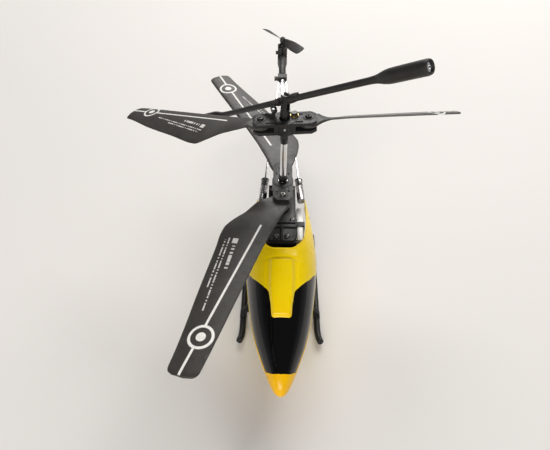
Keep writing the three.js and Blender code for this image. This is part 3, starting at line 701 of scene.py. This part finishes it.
LOWER_HUB = at(0, 0, LOWER_Z) @ Matrix.Rotation(math.pi / 2, 4, "Z")
UPPER_HUB = at(0, 0, UPPER_Z) @ Matrix.Rotation(-HEAD_TILT, 4, "Y")


def cross_screw(r, low, high, shank, shank_low):
    """A pan head screw with a cross recess, its shank below."""
    head = [(shank, low), (r - 0.15, low), (r, low + 0.2), (r, low + (high - low) * 0.45),
            (r * 0.86, high - 0.15), (r * 0.6, high), (0.45, high), (0.4, high - 0.35), (0.02, high - 0.4)]
    return lathe([(shank - 0.1, shank_low), (shank, shank_low + 0.15)] + head, 40)


def grips(prefix, body, hub, screws, nodes, material):
    """The two folding grips' screws, washers and the ribs on each tab."""
    for end, letter, screw, node in ((1, "a", screws[0], nodes[0]), (-1, "b", screws[1], nodes[1])):
        matrix = hub @ at(end * GRIP, 0, 0)
        piece(screw, *cross_screw(1.35, 2.5, 3.2, 0.8, -2.9), body, material, (node,), matrix)
        piece(f"{prefix}_washer_{letter}", *ring(1.1, 2.1, 2.36, 2.56), body, BLACK, (), matrix)
        ribs = [block((end * 4.4, y - 0.35, 2.3), (end * 7.2, y + 0.35, 2.75)) for y in (-2.6, 2.6)]
        cap = block((end * 12.0, -2.2, -2.36), (end * 12.4, 2.2, -1.16))
        piece(f"{prefix}_ribs_{letter}", *merge(*ribs, cap), body, BLACK, (), hub, bevel=0.1)


def rotors():
    dress("lower_hub", "lower_rotor", BLACK, 0.25)
    dress("upper_hub", "upper_head", BLACK, 0.25)
    grips("lower_grip", "lower_rotor", LOWER_HUB, ("lower_aft_bolt", "lower_fore_bolt"),
          ("lower_aft_screw", "lower_fore_screw"), DARK_STEEL)
    grips("upper_grip", "upper_head", UPPER_HUB, ("upper_right_bolt", "upper_left_bolt"),
          ("upper_right_screw", "upper_left_screw"), BLACK_STEEL)
    blade("lower_aft", LOWER_HUB, 1, 26, LOWER_PLAN, 1, -1, rise=2.3, root=8.8, tip=0.5)
    blade("lower_fore", LOWER_HUB, -1, 159.8, LOWER_PLAN, 1, -1, rise=-1.2, root=12.5, tip=9.6)
    blade("upper_right", UPPER_HUB, 1, 19.2, UPPER_PLAN, UPPER_SCALE, 1, rise=-12.4, root=35, tip=24.7)
    blade("upper_left", UPPER_HUB, -1, 148, UPPER_PLAN, UPPER_SCALE, 1, rise=-11.1, root=6, tip=2)


def mast():
    piece("mast_rod", *pin(1.35, 10.9, 93), "mast", CHROME, ("inner_shaft",))
    outer = lathe([(1.45, 17.6), (2.0, 17.6), (2.1, 17.8), (2.1, 58.0), (2.0, 58.2), (1.45, 58.2)],
                  closed=True)
    piece("outer_tube", *outer, "lower_rotor", STEEL, ("outer_shaft",))
    bush = lathe([(1.4, 58.6), (1.8, 58.6), (1.9, 58.8), (1.9, 60.5), (1.65, 61.1), (1.4, 61.2)], closed=True)
    piece("mast_bush", *bush, "mast", BLACK_GLOSS, ("shaft_bushing",))
    collar = lathe([(1.4, 78), (1.6, 78), (1.7, 78.15), (1.7, 80.3), (1.6, 80.4), (1.6, 80.7), (1.7, 80.8),
                    (1.7, 82.85), (1.6, 83), (1.4, 83)], closed=True)
    piece("mast_collar", *collar, "mast", BLACK_GLOSS, ("shaft_collar",))
    piece("mast_collar_screw", *pin(0.5, 0, 0.5, 0.08, 24), "mast", BLACK_STEEL, (),
          toward((1.35, 0, 81.8), (9, 0, 81.8)))
    piece("teeter_rod", *pin(0.6, -4.6, 4.6), "mast", STEEL, ("teeter_pin",),
          toward((0, 0, UPPER_Z), (0, 9, UPPER_Z)))


YOKE_R, YOKE_SLOT_HALF = 1.8, 0.85
# along an arm of the bar: distance from its middle, radius
ARM = [
    (3.0, 1.6), (4.2, 1.5), (6.5, 1.2), (12, 1.18), (38, 1.18), (40, 1.2), (42.5, 1.4), (45.3, 2.05),
    (47, 2.32), (48.5, 2.4), (60.3, 2.43), (60.8, 2.35), (FLYBAR_HALF, 2.2),
]
ARM_ROOT, ARM_STEPS = 3, 72
LINK_TOP, LINK_FOOT = Vector((-4.4, 0, FLYBAR_Z - 3.5)), Vector((-4.2, 2.2, UPPER_Z + 4.4))


def stabiliser_yoke(yoke):
    sleeve = lathe([(1.4, -7.2), (1.75, -7.2), (1.9, -7.0), (1.9, -4.2), (1.75, -3.9), (1.4, -3.9)],
                   closed=True)
    cheeks = []
    flat = math.asin(YOKE_SLOT_HALF / YOKE_R)
    arc = [flat + (math.pi - 2 * flat) * k / 20 for k in range(21)]
    for side in (0, math.pi):
        outline = [(YOKE_R * math.cos(a + side), YOKE_R * math.sin(a + side)) for a in arc]
        cheeks.append(prism(outline, -4.4, 2.6))
    piece("stabiliser_yoke", *merge(sleeve, pin(1.85, -4.5, -3.6), *cheeks), "mast", BLACK_GLOSS,
          ("flybar_yoke",), yoke, bevel=0.12)
    pivot = lathe([(0.5, -2.2), (0.6, -2.1), (0.6, 1.75), (0.85, 1.75), (0.85, 2.0), (0.6, 2.15)], 32)
    piece("stabiliser_pivot", *pivot, "mast", BLACK_STEEL, ("flybar_pin",),
          yoke @ Matrix.Rotation(-math.pi / 2, 4, "X"))


def stabiliser_bar(tilt):
    lie_down = Matrix.Rotation(math.pi / 2, 4, "Y")
    stations = [ARM_ROOT + (FLYBAR_HALF - ARM_ROOT) * k / ARM_STEPS for k in range(ARM_STEPS + 1)]
    profile = [(ARM[0][1] * 0.98, 2.4)] + [(smooth_curve(ARM, x)[0], x) for x in stations]
    mouth = [(1.75, FLYBAR_HALF), (1.66, 60.85), (1.65, 46.2)]
    core = lathe([(1.45, 46.3), (1.58, 46.5), (1.58, 60.3), (1.4, 60.5), (0.5, 60.55), (0.4, 60.3),
                  (0.02, 60.3)], 40)
    for side, turn, nodes in (("right", 0, ("flybar",)), ("left", math.pi, ())):
        place = tilt @ Matrix.Rotation(turn, 4, "Z")
        piece("stabiliser_arm_" + side, *moved(lathe(profile + mouth), lie_down), "stabiliser", FLYBAR_BLACK,
              nodes, place, sharp=50)
        piece("stabiliser_core_" + side, *moved(core, lie_down), "stabiliser", CHROME,
              ("flybar_weight_" + side,), place)
    eye = merge(block((-3.6, -0.75, -1.5), (3.6, 0.75, 1.5)), block((3.9, -0.85, 0.4), (7.4, 0.85, 1.9)))
    piece("stabiliser_eye", *eye, "stabiliser", FLYBAR_BLACK, (), tilt, bevel=0.35)


def stabiliser_link():
    ball = [(0.9 * math.cos(a), 0.9 * math.sin(a)) for a in (math.pi * (k / 16 - 0.5) for k in range(1, 16))]
    eyes = []
    for name, place in (("link_ball_top", LINK_TOP), ("link_ball_foot", LINK_FOOT)):
        piece(name, *lathe(ball, 32), "upper_head", CHROME, (), at(*place))
        eyes.append(moved(ring(0.7, 1.25, -0.45, 0.45), toward(place, place + Vector((0.3, 1, 0.4)))))
    piece("stabiliser_link", *merge(tube([LINK_FOOT, LINK_TOP], 0.6), *eyes), "upper_head", BLACK_GLOSS,
          ("flybar_link",), bevel=0.08)


def stabiliser():
    yoke = at(0, 0, FLYBAR_Z) @ Matrix.Rotation(FLYBAR_AZIMUTH, 4, "Z")
    stabiliser_yoke(yoke)
    stabiliser_bar(yoke @ Matrix.Rotation(-FLYBAR_TILT, 4, "Y"))
    stabiliser_link()
    stud = UPPER_HUB @ at(3.9, 1.4, 0)
    post = merge(pin(0.7, 1.6, 3.8), ring(0.7, 1.7, 2.5, 2.9), ring(0.7, 1.5, 3.0, 3.3))
    piece("head_stud", *post, "upper_head", BRASS, (), stud)
    piece("head_stud_cap", *pin(1.4, 3.4, 4.1, 0.25), "upper_head", BLACK_GLOSS, (), stud)


# ---------------------------------------------------------------- drive and frame
PINION_X = 3.75


def drive():
    gear_y = (joint_place("left_pinion_spin") - MAST).y / MM
    for side, sign, pinion_foot in (("left", -1, 14), ("right", 1, 17.8)):
        place = at(sign * PINION_X, gear_y, 0)
        can = lathe([(0.6, 23), (2.9, 23), (3.2, 23.1), (3.5, 23.5), (3.5, 36.2), (3.35, 36.6), (3.1, 36.9),
                     (2.3, 37), (1.4, 37), (1.4, 37.9), (1.25, 38), (0.1, 38)])
        piece(f"{side}_can", *can, "airframe", STEEL, (f"{side}_motor",), place)
        cap = lathe([(3.0, 36.6), (3.1, 36.95), (2.9, 37.25), (1.5, 37.3), (1.45, 36.9)], 40)
        piece(f"{side}_can_cap", *cap, "airframe", BLACK, (), place)
        piece(f"{side}_spindle", *pin(0.5, pinion_foot - 0.6, 26.8, 0.1, 24), f"{side}_drive", STEEL,
              (f"{side}_motor_shaft",), place)
        dress(f"{side}_pinion", f"{side}_drive", BRASS, 0.06)
    dress("inner_gear", "mast", NYLON, 0.08)
    dress("outer_gear", "lower_rotor", NYLON, 0.08)
    bearings = (("lower_bearing", 1.45, 2.8, 10.85, 13.2), ("upper_bearing", 2.2, 3.4, 39, 42.6))
    for name, inner, outer, low, high in bearings:
        rim = lathe([(inner, low), (outer - 0.15, low), (outer, low + 0.15), (outer, high - 0.5),
                     (outer - 0.3, high - 0.2), (outer - 0.6, high), (inner + 0.2, high),
                     (inner, high - 0.2)], closed=True)
        piece(name + "_ring", *rim, "airframe", DARK_BRASS, (name,))


def airframe():
    for node in ("bottom_plate", "top_plate", "frame_left", "frame_right", "motor_mount", "boom_socket"):
        dress(node, "airframe", BLACK, 0.18)
    for node in ("front_leg", "rear_leg", "tail_fin"):
        dress(node, "airframe", BLACK, 0.3)
    dress("battery", "airframe", WRAP, 0.7)
    dress("battery_strap", "airframe", BLACK, 0.12)
    dress("circuit_board", "airframe", BOARD, 0.1)
    dress("charge_socket", "airframe", WRAP, 0.15)
    dress("switch_body", "airframe", BLACK, 0.2)
    dress("switch_knob", "switch", WRAP, 0.15)
    dress("strut_clamp", "airframe", TAIL_BLACK, 0.3)
    dress("tail_mount", "airframe", TAIL_BLACK, 0.2)
    screws = [(x, y) for half, y in ((2.2, -17.6), (4.6, 13), (4.6, -7.5)) for x in (-half, half)]
    for k, (x, y) in enumerate(screws):
        piece(f"plate_screw_{k}", *cross_screw(1.15, 0, 0.75, 0.5, -1.2), "airframe", DARK_STEEL, (),
              at(x, y, 41.5))
    ribs = merge(*[block((-6.2, y - 0.4, 41.4), (6.2, y + 0.4, 42.1)) for y in (-12, -9.2)],
                 block((-0.5, -20, 41.4), (0.5, -12, 42.3)), block((-6.3, -20.1, 36.4), (6.3, -18.6, 40.2)),
                 block((-6.3, -23.4, 35.2), (6.3, -18.6, 36.6)))
    piece("top_plate_ribs", *ribs, "airframe", BLACK, (), bevel=0.12)
    chips = merge(block((-9.1, -3, 27), (-8.0, 1, 31)), block((-8.8, 4, 29), (-8.0, 7, 31.5)),
                  block((-8.7, -5, 24), (-8.0, -3.5, 26)), block((-8.6, 9.6, 26), (-8.0, 10.6, 30)))
    piece("board_chips", *chips, "airframe", BLACK_GLOSS, (), bevel=0.08)


BOOM_START, BOOM_END = Vector((0, 9, 44.5)), Vector((0, 129, 51.8))
TAIL_MOTOR_Y = 132.4
# along the tail rotor's blade: distance from its centre, half width, pitch in degrees
TAIL_PLAN = [
    (1.0, 1.4, -34), (2.4, 1.9, -34), (5, 2.35, -32), (7.5, 2.85, -29.5), (10, 3.15, -27), (14, 3.25, -24),
    (17.2, 3.2, -21.4), (18.2, 2.9, -20.5), (18.6, 2.3, -20),
]
TAIL_THICK_HALF = 0.36


def tail_blade(turn):
    """A pitched blade, turned about the tail rotor's centre.

    The pitch mirrors the chord but not the thickness, so the section is skewed and comes out thinner than
    TAIL_THICK_HALF says, most of all at the root.
    """
    around, steps = 20, 44
    first, last = TAIL_PLAN[0][0], TAIL_PLAN[-1][0]
    verts = []
    for r in [first + (last - first) * k / steps for k in range(steps + 1)]:
        half, pitch = smooth_curve(TAIL_PLAN, r)
        c, sn = math.cos(math.radians(pitch)), math.sin(math.radians(pitch))
        for k in range(around):
            a = 2 * math.pi * k / around
            y, z = half * math.copysign(abs(math.cos(a)) ** 0.8, math.cos(a)), TAIL_THICK_HALF * math.sin(a)
            verts.append(Vector((r, -y * c - z * sn, y * sn + z * c)))
    return moved((verts, hull_faces(around, steps + 1)), Matrix.Rotation(math.radians(turn), 4, "Z"))


def tail():
    long = (BOOM_END - BOOM_START).length
    boom = toward(BOOM_START, BOOM_END)
    piece("boom_tube", *pin(1.25, 0, long), "airframe", CHROME, ("tail_boom",), boom)
    piece("boom_band", *ring(1.24, 1.55, long * 0.745, long * 0.76), "airframe", STEEL, (), boom)
    for side, sign in (("left", -1), ("right", 1)):
        strut_start, strut_end = Vector((sign * 8.95, 15, 37.4)), Vector((sign * 1.9, 103.5, 50.3))
        length = (strut_end - strut_start).length
        piece(f"{side}_stay", *pin(0.5, 0, length, 0.1, 28), "airframe", CHROME, (f"strut_{side}",),
              toward(strut_start, strut_end))
        nozzle_start = Vector((sign * 9.3, 10, 36.7))
        cup = lathe([(1.7, 0), (1.85, 0.2), (1.85, 8.6), (1.78, 8.7), (1.78, 9.0), (1.85, 9.1), (1.85, 12.8),
                     (1.7, 13), (0.95, 13), (0.95, 6)])
        way = toward(nozzle_start, strut_end)
        piece(f"{side}_nozzle_cup", *cup, "airframe", SATIN_CHROME, (f"nozzle_{side}",), way)
        piece(f"{side}_nozzle_cap", *ring(0.95, 1.98, 12.75, 13.5), "airframe", BLACK_GLOSS, (), way)
    can = lathe([(2.1, 49.05), (2.35, 49.3), (2.35, 57.9), (2.15, 58.3), (1.1, 58.4), (1.1, 58.9), (1.0, 59),
                 (0.6, 59)])
    piece("tail_can", *can, "airframe", BLACK_GLOSS, ("tail_motor",), at(0, TAIL_MOTOR_Y, 0))
    piece("clamp_screw", *cross_screw(0.75, -0.1, 0.5, 0.35, -1.5), "airframe", STEEL, (),
          at(-3.8, 103.5, 51))
    boss = lathe([(0.4, -6.2), (0.5, -6.1), (0.5, -1.5), (1.4, -1.4), (1.7, -1.1), (1.7, 1.0), (1.4, 1.4),
                  (0.6, 1.5), (0.5, 2.0)], 40)
    moulding = merge(boss, tail_blade(-54), tail_blade(126))
    prop = piece("tail_prop_moulding", *moulding, "tail_prop", TAIL_BLACK, ("tail_rotor",),
                 at(*((joint_place("tail_rotor_spin") - MAST) / MM)), sharp=50)


# along a runner: Y, distance from the middle plane, height of its centre line
RUNNER = [
    (-45.8, 18.2, 2.7), (-44.2, 17.85, 2.1), (-42.5, 17.5, 1.5), (-40.2, 17.28, 1.25), (-38, SKID_X, SKID_Z),
    (-30, SKID_X, SKID_Z), (21, SKID_X, SKID_Z),
]
RUNNER_CLIPS_Y = (-30.5, 5)


def on_ground(part):
    """A part with everything below the ground pressed flat onto it."""
    verts, faces = part
    return [Vector((v.x, v.y, max(v.z, 0.0))) for v in verts], faces


def skids():
    ys = [-45.8 + 8 * k / 20 for k in range(21)] + [-37 + 58 * k / 12 for k in range(13)]
    end_r = SKID_R - 0.07
    for side, sign in (("left", -1), ("right", 1)):
        line = [(y, *smooth_curve(RUNNER, y)) for y in ys]
        points = [Vector((sign * x, y, z)) for y, x, z in line]
        runner = on_ground(tube(points, [end_r] + [SKID_R] * (len(points) - 2) + [end_r], 32))
        piece(f"{side}_runner", *runner, "airframe", BLACK, (f"skid_{side}",), sharp=50)
        for k, y in enumerate(RUNNER_CLIPS_Y):
            clip = lathe([(1.4, -2.2), (1.62, -2.0), (1.62, 2.0), (1.4, 2.2)], 32)
            clip = moved(clip, toward((sign * SKID_X, y, 1.3), (sign * SKID_X, y + 9, 1.3)))
            piece(f"{side}_runner_clip_{k}", *on_ground(clip), "airframe", BLACK_GLOSS, (), sharp=50)


# ---------------------------------------------------------------- everything
def stage_floor():
    bpy.ops.mesh.primitive_plane_add(size=FLOOR_SIZE, location=(0, 0, 0))
    floor = bpy.context.object
    floor.name = "floor"
    floor.data.materials.append(floor_paper())


camera()
stage_floor()
studio()
canopy()
rotors()
mast()
stabiliser()
drive()
airframe()
tail()
skids()
